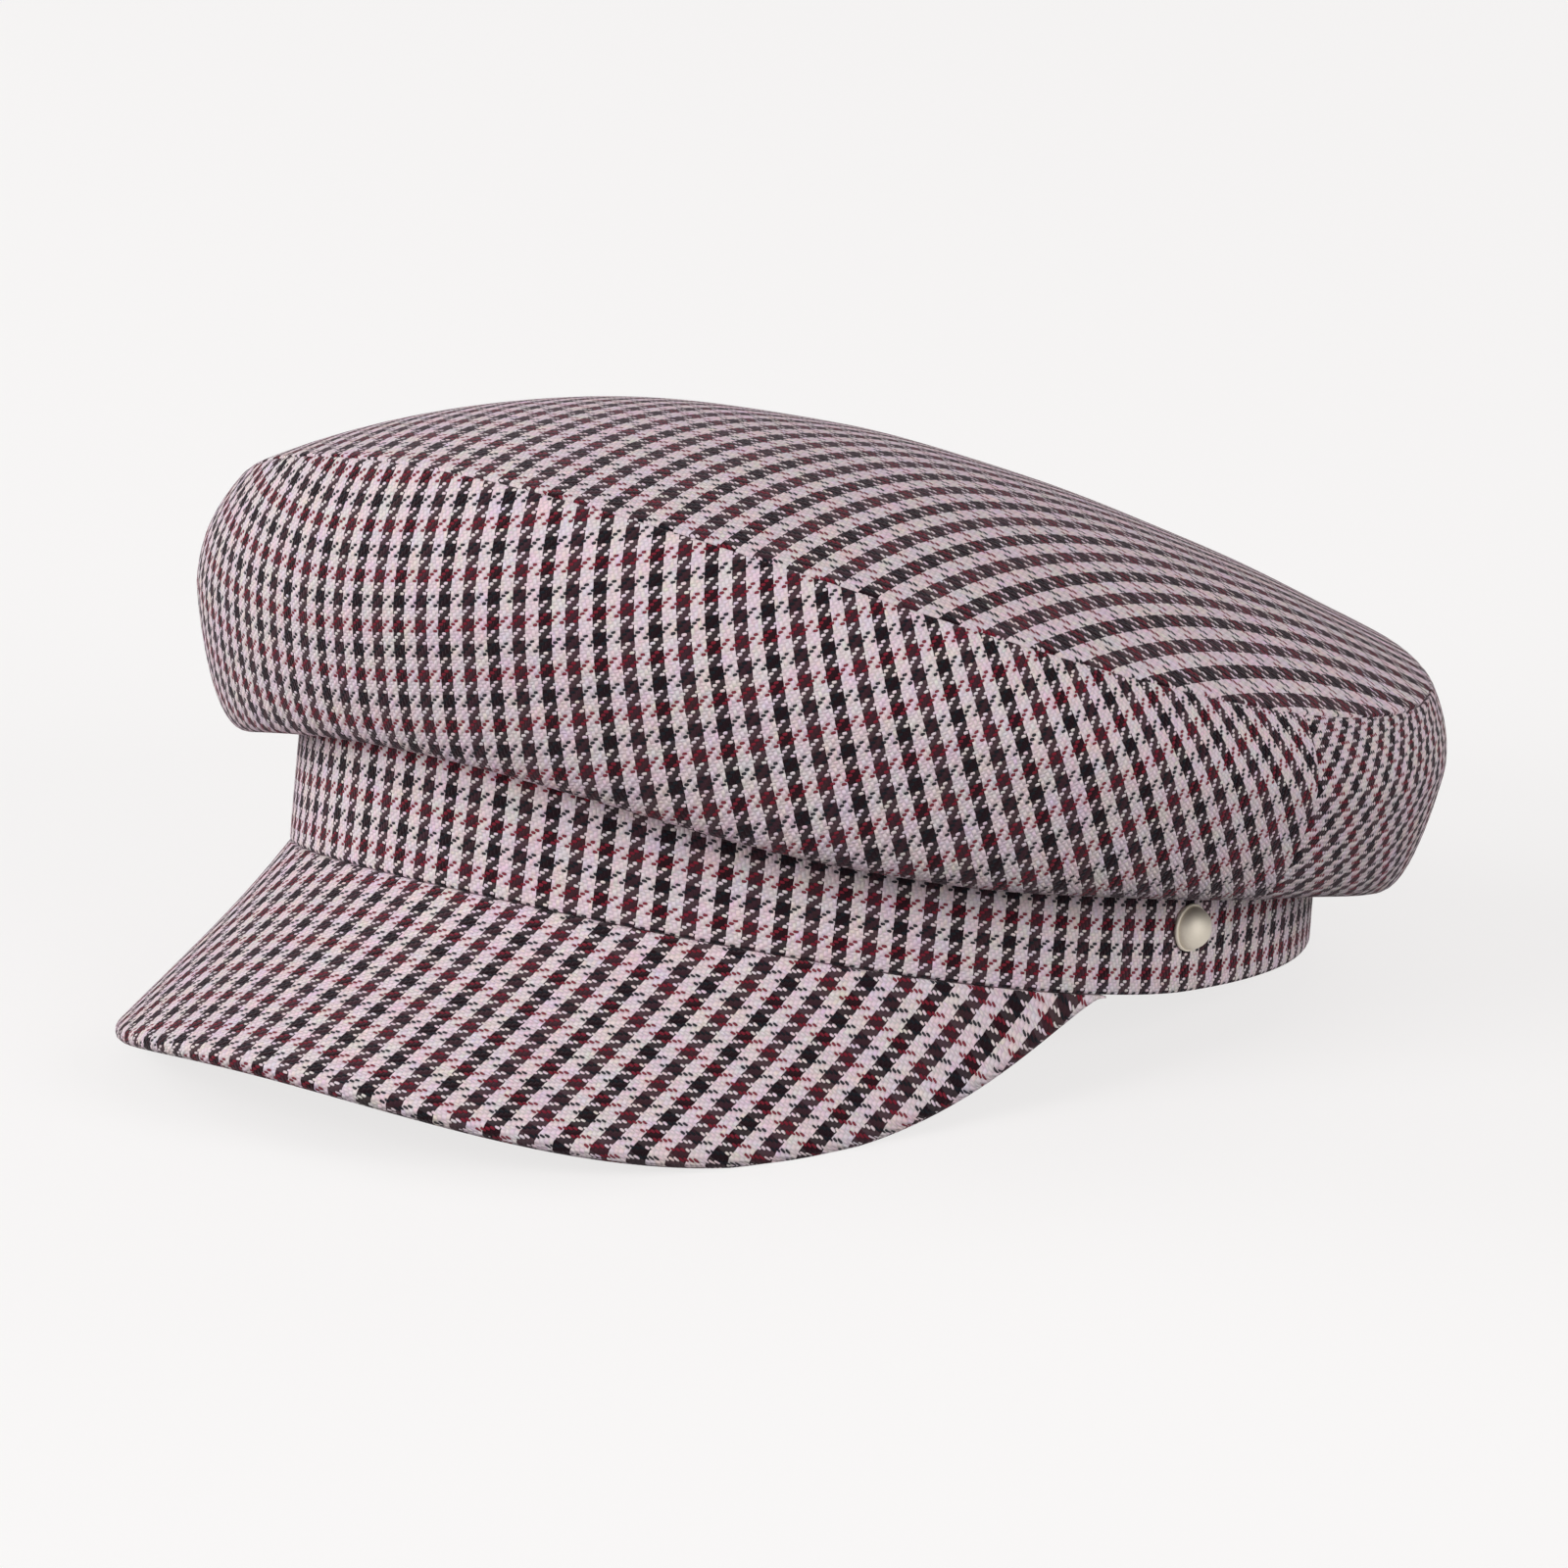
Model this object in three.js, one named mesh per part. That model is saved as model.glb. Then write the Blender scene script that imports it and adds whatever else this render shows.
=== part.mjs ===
import * as THREE from 'three';

// A soft peaked cap of checked wool cloth, resting on a table. Millimetres, +Z up.
// The peak points to -Y and the wearer's left is +X. Each piece is first worked out
// upright, with the back of the band level, and then pitched back until it rests on
// the sides of the peak and the back of the band.
// An angle round the head starts at the front and grows towards the wearer's left.

const degree = Math.PI / 180;
const quarterTurn = Math.PI / 2;
const fullTurn = 2 * Math.PI;
const seamGap = 0.3;

// Band: half length and half width of the head oval are taken on its outer face
const band = {
  halfLength: 103.1,
  halfWidth: 89.5,
  height: 24.3,
  wall: 2.6,
  edgeRound: 0.9,
  flare: 0.3,
  frontRise: 12.4,
  riseSharpness: 1.5,
};

// Crown's side: height grows from -1 at the band, over 0 at the widest line, to 1 at the tip seam
const crown = {
  wall: 1.8,
  flange: 1.8,
  halfLength: 118.3,
  halfWidth: 115.7,
  centreY: 0.2,
  widestFront: 61.1,
  widestBack: 38.8,
  widestSideDrop: 8.8,
  underRound: 1.48,
  droop: 10.2,
  droopFrontLess: 3.8,
  droopDiagonalMore: 4.3,
  lean: 2.18,
};

// Seam round the crown's tip: its share of the widest line's distance from the centre, its height
const tipSeam = {
  shareFront: 0.926,
  shareBack: 0.969,
  shareSharpness: 2,
  front: 87.2,
  back: 56.1,
  sideDrop: 16.9,
};

// Crown's tip: height goes on from 1 at its seam to 2 at the top centre
const tip = {
  top: 90.9,
  forwardRise: 0.158,
  endsRise: 5,
  endsLength: 100,
  domeFront: 2.41,
  domeBack: 1.7,
};

const peak = {
  halfSpread: 78.7 * degree,
  width: 52.7,
  sideFall: 3.8,
  sideRound: 1.49,
  splay: 0.376,
  droopCentre: 31.9 * degree,
  droopSideMore: 45 * degree,
  thickness: 3.6,
  thinnest: 1.2,
  thickenWithin: 4,
  tongue: 1.8,
  leastReach: 1.6,
};

const stud = { angle: quarterTurn, radius: 4.4, rim: 0.7, rise: 4 };

// How the cap rests: pitched back, lifted to the table, cloth flattened where it touches
const rest = { pitch: 7.25 * degree, lift: 12.4 };

const facets = {
  band: 96,
  bandEdge: 2,
  panel: 32,
  panelUnder: 9,
  panelWall: 6,
  tipRings: 12,
  tipAround: 64,
  peakAlong: 40,
  peakOut: 8,
  peakEdge: 3,
  stud: 24,
  studDome: 5,
};

const wool = (color) => new THREE.MeshStandardMaterial({ color, roughness: 0.93, metalness: 0 });
const checkedWool = wool(0x8f7f88);
const metal = new THREE.MeshStandardMaterial({ color: 0xcfc6b6, roughness: 0.3, metalness: 1 });

const steps = (from, to, count) =>
  Array.from({ length: count + 1 }, (_, i) => from + ((to - from) * i) / count);

// Value that goes smoothly from its front amount to its back amount
const frontToBack = (angle, front, back) => (front + back) / 2 + ((front - back) / 2) * Math.cos(angle);

const ovalPoint = (angle, halfLength, halfWidth) =>
  new THREE.Vector2(halfWidth * Math.sin(angle), -halfLength * Math.cos(angle));

// Level direction that points away from the head at an angle of the band's oval
const outward = (angle) =>
  new THREE.Vector3(
    Math.sin(angle) / band.halfWidth,
    -Math.cos(angle) / band.halfLength,
    0,
  ).normalize();

// The band's bottom edge climbs at the front, where the peak is
const bandRise = (angle) => band.frontRise * Math.max(Math.cos(angle), 0) ** band.riseSharpness;

// Point of the band, by its height above the bottom edge and its depth behind the outer face
function bandPoint(angle, height, depth = 0) {
  const flare = band.flare * (1 - height / band.height);
  const { x, y } = ovalPoint(angle, band.halfLength + flare, band.halfWidth + flare);
  return new THREE.Vector3(x, y, bandRise(angle) + height).addScaledVector(outward(angle), -depth);
}

function crownUnderPoint(angle, height) {
  const turn = -height * quarterTurn;
  const power = 2 / crown.underRound;
  const out = Math.cos(turn) ** power;
  const up = 1 - Math.sin(turn) ** power;
  const inner = bandPoint(angle, band.height);
  const widest = ovalPoint(angle, crown.halfLength, crown.halfWidth);
  const widestZ = widestHeight(angle);
  const droop =
    crown.droop -
    crown.droopFrontLess * Math.cos(angle) +
    crown.droopDiagonalMore * Math.sin(2 * angle) ** 2;
  const junctionZ = inner.z + seamGap;
  return new THREE.Vector3(
    inner.x + (widest.x - inner.x) * out,
    inner.y + (widest.y + crown.centreY - inner.y) * out,
    junctionZ + (widestZ - junctionZ) * up - droop * Math.sin(2 * turn) ** 2,
  );
}

function widestHeight(angle) {
  return (
    frontToBack(angle, crown.widestFront, crown.widestBack) -
    crown.widestSideDrop * Math.sin(angle) ** 2
  );
}

// Where the seam round the tip runs: its share of the widest line's distance, and its level
function seamPlace(angle) {
  const frontness = ((1 + Math.cos(angle)) / 2) ** tipSeam.shareSharpness;
  return {
    share: tipSeam.shareBack + (tipSeam.shareFront - tipSeam.shareBack) * frontness,
    level: frontToBack(angle, tipSeam.front, tipSeam.back) - tipSeam.sideDrop * Math.sin(angle) ** 2,
  };
}

// Point above the crown's middle line, by its share of the widest line's distance
function crownAbove(angle, share, z) {
  const { x, y } = ovalPoint(angle, crown.halfLength, crown.halfWidth).multiplyScalar(share);
  return new THREE.Vector3(x, y + crown.centreY, z);
}

function crownWallPoint(angle, height) {
  const { share, level } = seamPlace(angle);
  const widestZ = widestHeight(angle);
  const lean = 1 - (1 - share) * height ** crown.lean;
  return crownAbove(angle, lean, widestZ + (level - widestZ) * height);
}

// Level of the tip before its edge is drawn down to the seam
const tipCrest = (y) => tip.top - tip.forwardRise * y + tip.endsRise * (y / tip.endsLength) ** 2;

function tipPoint(angle, height) {
  const { share, level } = seamPlace(angle);
  const out = Math.max(2 - height, 0);
  const edgeY = -crown.halfLength * Math.cos(angle) * share;
  const drop = tipCrest(edgeY) - level;
  const dome = frontToBack(angle, tip.domeFront, tip.domeBack);
  return crownAbove(angle, share * out, tipCrest(edgeY * out) - drop * out ** dome);
}

function crownPoint(angle, height) {
  if (height < 0) return crownUnderPoint(angle, height);
  return height > 1 ? tipPoint(angle, height) : crownWallPoint(angle, height);
}

// Direction out of the cloth just above a height (side 1) or just below it (side -1)
function crownNormal(angle, height, side) {
  const step = 0.004;
  const along = crownPoint(angle + step, height).sub(crownPoint(angle - step, height));
  const rising = crownPoint(angle, height + side * step).sub(crownPoint(angle, height));
  return along.cross(rising.multiplyScalar(side)).normalize();
}

// Inner face of the cloth. Beside the tip seam, where the cloth is creased, it ends in a mitre.
function crownInner(angle, height) {
  const seamReach = 0.02;
  const place = Math.abs(height - 1) < seamReach ? 1 : height;
  const below = crownNormal(angle, place, -1);
  const above = crownNormal(angle, place, 1);
  const mitre = below.clone().add(above).normalize();
  return crownPoint(angle, height).addScaledVector(mitre, -crown.wall / mitre.dot(below));
}

// Crown height at the edge of a piece, half a seam gap above the tip seam or below it
function besideSeam(angle, side) {
  const step = 0.01;
  const length = crownPoint(angle, 1 + side * step).distanceTo(crownPoint(angle, 1));
  return 1 + side * step * (seamGap / 2 / length);
}

// Pitch the upright cap back, stand it on the table and flatten what would reach below it
function settle({ x, y, z }) {
  const cos = Math.cos(rest.pitch);
  const sin = Math.sin(rest.pitch);
  return new THREE.Vector3(x, y * cos + z * sin, Math.max(z * cos - y * sin + rest.lift, 0));
}

// Closed body over a row of loops. Loops are joined one to the next, and the ends are a
// single point, a strip across a loop whose second half runs back beside its first, or,
// where the row closes on itself, each other.
function skin(loops, { closed = false } = {}) {
  const points = loops.flat().map(settle);
  const starts = [];
  let count = 0;
  for (const loop of loops) {
    starts.push(count);
    count += loop.length;
  }
  const faces = [];
  const quad = (a, b, c, d) => faces.push([a, b, c], [a, c, d]);
  const joins = closed ? loops.length : loops.length - 1;
  for (let i = 0; i < joins; i += 1) {
    const k = (i + 1) % loops.length;
    const size = Math.max(loops[i].length, loops[k].length);
    for (let j = 0; j < size; j += 1) {
      const next = (j + 1) % size;
      if (loops[i].length === 1) faces.push([starts[i], starts[k] + next, starts[k] + j]);
      else if (loops[k].length === 1) faces.push([starts[i] + j, starts[i] + next, starts[k]]);
      else quad(starts[i] + j, starts[i] + next, starts[k] + next, starts[k] + j);
    }
  }
  const strip = (start, size, flip) => {
    for (let j = 0; j < size / 2 - 1; j += 1) {
      const corners = [j, j + 1, size - 2 - j, size - 1 - j].map((n) => start + n);
      quad(...(flip ? corners.reverse() : corners));
    }
  };
  if (!closed && loops[0].length > 1) {
    strip(starts[0], loops[0].length, true);
    strip(starts.at(-1), loops.at(-1).length, false);
  }
  return outwardBody(points, faces);
}

function outwardBody(points, faces) {
  const volume = faces.reduce(
    (sum, [a, b, c]) => sum + points[a].dot(points[b].clone().cross(points[c])),
    0,
  );
  const order = volume < 0 ? faces.map(([a, b, c]) => [a, c, b]) : faces;
  const geometry = new THREE.BufferGeometry();
  geometry.setAttribute(
    'position',
    new THREE.Float32BufferAttribute(points.flatMap((point) => point.toArray()), 3),
  );
  geometry.setIndex(order.flat());
  geometry.computeVertexNormals();
  return geometry;
}

// Angles of one ring round the head
const ringAngles = (count) => steps(0, fullTurn, count).slice(0, -1);

function bandGeometry() {
  const round = band.edgeRound;
  const ring = (height, depth) => ringAngles(facets.band).map((a) => bandPoint(a, height, depth));
  const turns = steps(0, quarterTurn, facets.bandEdge);
  const corner = (turn, side) => {
    const depth = round - round * Math.cos(turn);
    return ring(round - round * Math.sin(turn), side > 0 ? depth : band.wall - depth);
  };
  const rings = [
    ring(band.height, 0),
    ...turns.map((turn) => corner(turn, 1)),
    ...turns.map((turn) => corner(turn, -1)).reverse(),
    ring(band.height, band.wall),
  ];
  return skin(rings, { closed: true });
}

// One half of the crown's side, from one side seam to the other
function panelGeometry(middle) {
  const sideGap = seamGap / 2 / crown.halfWidth;
  const reach = quarterTurn - sideGap;
  const loops = steps(middle - reach, middle + reach, facets.panel).map((angle) => {
    const heights = [
      ...steps(-1, 0, facets.panelUnder),
      ...steps(0, besideSeam(angle, -1), facets.panelWall).slice(1),
    ];
    const flange = crownPoint(angle, -1).addScaledVector(outward(angle), -crown.flange);
    const above = new THREE.Vector3(0, 0, crown.wall);
    const outer = [flange, ...heights.map((height) => crownPoint(angle, height))];
    const inner = heights.slice(1).map((height) => crownInner(angle, height));
    return [
      ...outer,
      ...inner.reverse(),
      crownPoint(angle, -1).add(above),
      flange.clone().add(above),
    ];
  });
  return skin(loops);
}

function tipGeometry() {
  const ring = (share, surface) =>
    ringAngles(facets.tipAround).map((angle) => {
      const start = besideSeam(angle, 1);
      return surface(angle, start + (2 - start) * share);
    });
  const shares = steps(0, 1, facets.tipRings).slice(0, -1);
  const summit = crownPoint(0, 2);
  const outer = shares.map((share) => ring(share, crownPoint)).reverse();
  const inner = shares.map((share) => ring(share, crownInner));
  const under = summit.clone().setZ(summit.z - crown.wall);
  return skin([[summit], ...outer, ...inner, [under]]);
}

// The peak's own directions where it leaves the band: out along it, and up out of it
function peakFrame(across) {
  const angle = across * peak.halfSpread;
  const heading = angle * peak.splay;
  const droop = peak.droopCentre + peak.droopSideMore * across ** 2;
  const level = new THREE.Vector3(Math.sin(heading), -Math.cos(heading), 0);
  const up = new THREE.Vector3(0, 0, 1);
  return {
    angle,
    root: bandPoint(angle, 0).setZ(bandRise(angle) - seamGap),
    out: level.clone().multiplyScalar(Math.cos(droop)).addScaledVector(up, -Math.sin(droop)),
    normal: level.clone().multiplyScalar(Math.sin(droop)).addScaledVector(up, Math.cos(droop)),
    width: peak.width * Math.max(1 - Math.abs(across) ** peak.sideFall, 0) ** peak.sideRound,
  };
}

function peakGeometry() {
  const loops = steps(-1, 1, facets.peakAlong).map((place) => {
    const { angle, root, out, normal, width } = peakFrame(Math.sin(place * quarterTurn));
    const thick = Math.min(width / peak.thickenWithin, 1);
    const half = (peak.thinnest + (peak.thickness - peak.thinnest) * thick) / 2;
    const reach = Math.max(width - half, peak.leastReach);
    // The upper face starts level with the band's edge; the rounded edge is centred on the plate
    const plate = (share, side) =>
      root
        .clone()
        .addScaledVector(out, reach * share)
        .addScaledVector(normal, half * (side - 1 + share));
    const edge = (turn, side) =>
      plate(1, 0)
        .addScaledVector(out, half * Math.cos(turn))
        .addScaledVector(normal, side * half * Math.sin(turn));
    const shares = steps(0, 1, facets.peakOut);
    // The edge's turns stop half a step short of its middle, where the two faces meet
    const turns = steps(quarterTurn, quarterTurn / (2 * facets.peakEdge + 1), facets.peakEdge);
    const face = (side) => [
      ...shares.map((share) => plate(share, side)),
      ...turns.slice(1).map((turn) => edge(turn, side)),
    ];
    const tongue = root.clone().addScaledVector(outward(angle), -peak.tongue);
    const innerFace = tongue.clone().lerp(plate(0, -1), 0.5);
    return [tongue, ...face(1), ...face(-1).reverse(), innerFace];
  });
  return skin(loops);
}

function studGeometry() {
  const dome = steps(0, quarterTurn, facets.studDome).map(
    (turn) =>
      new THREE.Vector2(
        stud.radius * Math.cos(turn),
        stud.rim + (stud.rise - stud.rim) * Math.sin(turn),
      ),
  );
  dome.at(-1).x = 0;
  const profile = [new THREE.Vector2(0, 0), new THREE.Vector2(stud.radius, 0), ...dome];
  return new THREE.LatheGeometry(profile, facets.stud);
}

function named(name, geometry, material) {
  const mesh = new THREE.Mesh(geometry, material);
  mesh.name = name;
  return mesh;
}

const cap = new THREE.Group();
cap.add(named('crown_tip', tipGeometry(), checkedWool.clone()));
cap.add(named('crown_front_panel', panelGeometry(0), checkedWool.clone()));
cap.add(named('crown_back_panel', panelGeometry(Math.PI), checkedWool.clone()));
cap.add(named('band', bandGeometry(), checkedWool.clone()));
cap.add(named('peak', peakGeometry(), checkedWool.clone()));

const studMesh = named('stud', studGeometry(), metal);
studMesh.position.copy(settle(bandPoint(stud.angle, band.height / 2, -seamGap)));
studMesh.rotation.z = -stud.angle;
cap.add(studMesh);

// Origin under the middle of the cap
const bounds = new THREE.Box3().setFromObject(cap);
cap.position.y = -(bounds.min.y + bounds.max.y) / 2;

export default cap;
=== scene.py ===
import bmesh
import bpy
import numpy as np
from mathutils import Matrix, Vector


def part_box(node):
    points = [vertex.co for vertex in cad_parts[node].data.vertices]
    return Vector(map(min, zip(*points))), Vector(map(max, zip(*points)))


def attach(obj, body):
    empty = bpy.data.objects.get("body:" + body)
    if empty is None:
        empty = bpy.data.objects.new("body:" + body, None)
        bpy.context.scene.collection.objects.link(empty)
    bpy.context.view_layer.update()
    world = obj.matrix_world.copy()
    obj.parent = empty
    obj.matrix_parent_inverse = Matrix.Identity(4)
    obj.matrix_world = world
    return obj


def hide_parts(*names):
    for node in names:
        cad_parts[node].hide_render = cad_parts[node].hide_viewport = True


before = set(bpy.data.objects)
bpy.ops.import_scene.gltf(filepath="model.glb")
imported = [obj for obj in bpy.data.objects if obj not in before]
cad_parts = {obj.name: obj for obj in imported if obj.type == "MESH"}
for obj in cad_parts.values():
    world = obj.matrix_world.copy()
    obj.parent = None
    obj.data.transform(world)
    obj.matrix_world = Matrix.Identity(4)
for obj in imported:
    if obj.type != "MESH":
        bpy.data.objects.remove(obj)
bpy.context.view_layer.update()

# A checked wool cap with a peak. Shapes are worked out upright in millimetres, then pitched
# back onto the table. Angles round the head start at the front (-Y) and grow towards +X.

millimetre = 0.001
quarterTurn = np.pi / 2
halfTurn = np.pi
tiny = 1e-4
leastLength = 1e-9

# Steps for lengths measured along the cloth, and how far a measured line runs past its piece
measureSteps = {"fine": 28, "coarse": 12, "panelLine": 801, "bandLine": 1601, "pastEnds": 1.2}

bandSize = {
    "halfLength": 103.1,
    "halfWidth": 89.5,
    "height": 24.3,
    "wall": 2.6,
    "flare": 0.3,
    "frontRise": 12.4,
    "riseSharpness": 1.5,
}

crownSize = {
    "wall": 1.8,
    "halfLength": 118.3,
    "halfWidth": 115.7,
    "centreY": 0.2,
    "widestFront": 61.1,
    "widestBack": 38.8,
    "widestSideDrop": 8.8,
    "underRound": 1.48,
    "droop": 10.2,
    "droopFrontLess": 3.8,
    "droopDiagonalMore": 4.3,
    "lean": 2.18,
}

tipSeamSize = {
    "shareFront": 0.926,
    "shareBack": 0.969,
    "shareSharpness": 2,
    "front": 87.2,
    "back": 56.1,
    "sideDrop": 16.9,
}

tipSize = {
    "top": 90.9,
    "forwardRise": 0.158,
    "endsRise": 5,
    "endsLength": 100,
    "domeFront": 2.41,
    "domeBack": 1.7,
}

peakSize = {
    "halfSpread": np.radians(78.7),
    "width": 52.6,
    "sideFall": 3.7,
    "sideRound": 1.48,
    "splay": 0.339,
    "droopCentre": np.radians(32.5),
    "droopSideMore": np.radians(43.4),
    "dish": 1.2,
    "curl": 1.4,
    "curlFrom": 0.55,
    "thickness": 3.6,
    "thinnest": 0.5,
    "thickenWithin": 4,
    "tongue": 2.3,
    "leastReach": 0.1,
}

studSize = {"angle": quarterTurn, "radius": 4.4, "rim": 0.7, "rise": 4}

restSize = {"pitch": np.radians(7.25), "lift": 12.4}

# Seams: the gap between two pieces, and how deep and how wide the cloth sinks beside it
seamLook = {"gap": 0.1, "dip": 0.3, "reach": 1.3}


def frontToBack(angle, front, back):
    return (front + back) / 2 + (front - back) / 2 * np.cos(angle)


def point(x, y, z):
    return np.stack(np.broadcast_arrays(x, y, z), -1)


def length(vectors):
    return np.sqrt((vectors ** 2).sum(-1))


def unit(vectors):
    return vectors / np.maximum(length(vectors), leastLength)[..., None]


def outward(angle):
    size = bandSize
    return unit(point(np.sin(angle) / size["halfWidth"], -np.cos(angle) / size["halfLength"], 0.0))


def bandRise(angle):
    return bandSize["frontRise"] * np.maximum(np.cos(angle), 0) ** bandSize["riseSharpness"]


def bandPoint(angle, height, depth=0.0):
    size = bandSize
    flare = size["flare"] * (1 - height / size["height"])
    x = (size["halfWidth"] + flare) * np.sin(angle)
    y = -(size["halfLength"] + flare) * np.cos(angle)
    away = outward(angle) * np.asarray(depth, float)[..., None]
    return point(x, y, bandRise(angle) + height) - away


def widestHeight(angle):
    size = crownSize
    mean = frontToBack(angle, size["widestFront"], size["widestBack"])
    return mean - size["widestSideDrop"] * np.sin(angle) ** 2


def crownUnder(angle, height):
    size = crownSize
    turn = np.clip(-height, 0, 1) * quarterTurn
    power = 2 / size["underRound"]
    out = np.cos(turn) ** power
    up = 1 - np.sin(turn) ** power
    inner = bandPoint(angle, bandSize["height"])
    junction = inner[..., 2] + seamLook["gap"]
    droop = (
        size["droop"]
        - size["droopFrontLess"] * np.cos(angle)
        + size["droopDiagonalMore"] * np.sin(2 * angle) ** 2
    )
    widestX = size["halfWidth"] * np.sin(angle)
    widestY = size["centreY"] - size["halfLength"] * np.cos(angle)
    return point(
        inner[..., 0] + (widestX - inner[..., 0]) * out,
        inner[..., 1] + (widestY - inner[..., 1]) * out,
        junction + (widestHeight(angle) - junction) * up - droop * np.sin(2 * turn) ** 2,
    )


def crownAbove(angle, share, z):
    size = crownSize
    x = size["halfWidth"] * np.sin(angle) * share
    return point(x, size["centreY"] - size["halfLength"] * np.cos(angle) * share, z)


def seamPlace(angle):
    size = tipSeamSize
    frontness = ((1 + np.cos(angle)) / 2) ** size["shareSharpness"]
    share = size["shareBack"] + (size["shareFront"] - size["shareBack"]) * frontness
    level = frontToBack(angle, size["front"], size["back"]) - size["sideDrop"] * np.sin(angle) ** 2
    return share, level


def crownWall(angle, height):
    share, level = seamPlace(angle)
    lean = 1 - (1 - share) * np.clip(height, 0, None) ** crownSize["lean"]
    widest = widestHeight(angle)
    return crownAbove(angle, lean, widest + (level - widest) * height)


def tipCrest(y):
    size = tipSize
    return size["top"] - size["forwardRise"] * y + size["endsRise"] * (y / size["endsLength"]) ** 2


def crownTip(angle, height):
    share, level = seamPlace(angle)
    out = np.clip(2 - height, 0, None)
    edgeY = -crownSize["halfLength"] * np.cos(angle) * share
    drop = tipCrest(edgeY) - level
    dome = frontToBack(angle, tipSize["domeFront"], tipSize["domeBack"])
    return crownAbove(angle, share * out, tipCrest(edgeY * out) - drop * out ** dome)


def crownPoint(angle, height):
    # Height runs from -1 at the band, over 0 at the widest line and 1 at the tip seam, to 2
    under = crownUnder(angle, np.minimum(height, 0))
    side = crownWall(angle, np.clip(height, 0, 1))
    top = crownTip(angle, np.clip(height, 1, 2))
    height = np.asarray(height)[..., None]
    return np.where(height < 0, under, np.where(height <= 1, side, top))


def crownNormal(angle, height, surface):
    # Surfaces are functions of angle and height; the normal comes from two short steps
    step = 0.003
    along = surface(angle + step, height) - surface(angle - step, height)
    rising = surface(angle, height + step) - surface(angle, height - step)
    return unit(np.cross(along, rising))


def seamMitre(angle):
    # Middle direction between the crown's side and its tip, along the seam
    off = 0.01
    side = crownNormal(angle, np.full_like(angle, 1 - off), crownWall)
    top = crownNormal(angle, np.full_like(angle, 1 + off), crownTip)
    return unit(side + top)


def settle(points):
    # Pitches the upright cap back, stands it on the table and flattens what would reach below
    cos, sin = np.cos(restSize["pitch"]), np.sin(restSize["pitch"])
    x, y, z = points[..., 0], points[..., 1], points[..., 2]
    return point(x, y * cos + z * sin + middleY, np.maximum(z * cos - y * sin + restSize["lift"], 0))


# The frame's origin lies under the middle of the cap, so the stud's place gives the shift
studLow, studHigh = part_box("stud")
middleY = 0.0
studUpright = bandPoint(np.array(studSize["angle"]), bandSize["height"] / 2)
middleY = (studLow.y + studHigh.y) / 2 / millimetre - settle(studUpright)[1]
print("frame read, cap shifted by", round(float(middleY), 3), "mm")


# Forms: every cloth piece starts as a thin ring, a disc or a fan, spun from one line of
# points. The outer sheet lies at twice the radius of the inner one, and the shape
# functions then read each point's angle, height and sheet from the form.
formSize = {"outerRadius": 2, "innerRadius": 1, "weld": 1e-6, "sliver": 1e-7}


def spunSheet(points, angle, turns, weld):
    # Turns one line of points round the upright axis
    sheet = bmesh.new()
    line = [sheet.verts.new(place) for place in points]
    for low, high in zip(line, line[1:]):
        sheet.edges.new((low, high))
    bmesh.ops.spin(
        sheet,
        geom=sheet.verts[:] + sheet.edges[:],
        axis=(0, 0, 1),
        angle=angle,
        steps=turns,
        use_merge=abs(angle) > 2 * halfTurn - tiny,
    )
    bmesh.ops.remove_doubles(sheet, verts=sheet.verts[:], dist=weld)
    bmesh.ops.recalc_face_normals(sheet, faces=sheet.faces[:])
    return sheet


def spunForm(heights, fromAngle, toAngle, turns):
    outer = formSize["outerRadius"]
    start = Vector((outer * np.sin(fromAngle), -outer * np.cos(fromAngle), 0))
    line = [start + Vector((0, 0, height)) for height in heights]
    form = spunSheet(line, toAngle - fromAngle, turns, formSize["weld"])
    copy = bmesh.ops.duplicate(form, geom=form.verts[:] + form.edges[:] + form.faces[:])["geom"]
    inner = [part for part in copy if isinstance(part, bmesh.types.BMVert)]
    share = formSize["innerRadius"] / outer
    bmesh.ops.scale(form, vec=(share, share, 1), verts=inner)
    faces = [part for part in copy if isinstance(part, bmesh.types.BMFace)]
    bmesh.ops.reverse_faces(form, faces=faces)
    return form


def rowHeights(low, high, rows, lowEdge, highEdge):
    # Heights with closer rows near both ends, where the cloth sinks into its seams
    first = [low + step for step in lowEdge]
    last = [high - step for step in reversed(highEdge)]
    middle = np.linspace(first[-1], last[0], rows + 1)[1:-1]
    return [float(h) for h in [low, *first, *middle, *last, high]]


def readPoints(mesh):
    co = np.empty(len(mesh.vertices) * 3)
    mesh.vertices.foreach_get("co", co)
    return co.reshape(-1, 3)


def addPiece(name, mesh):
    mesh.shade_smooth()
    piece = bpy.data.objects.new(name, mesh)
    bpy.context.scene.collection.objects.link(piece)
    print(name, "made,", len(mesh.polygons), "faces")
    return piece


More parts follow.
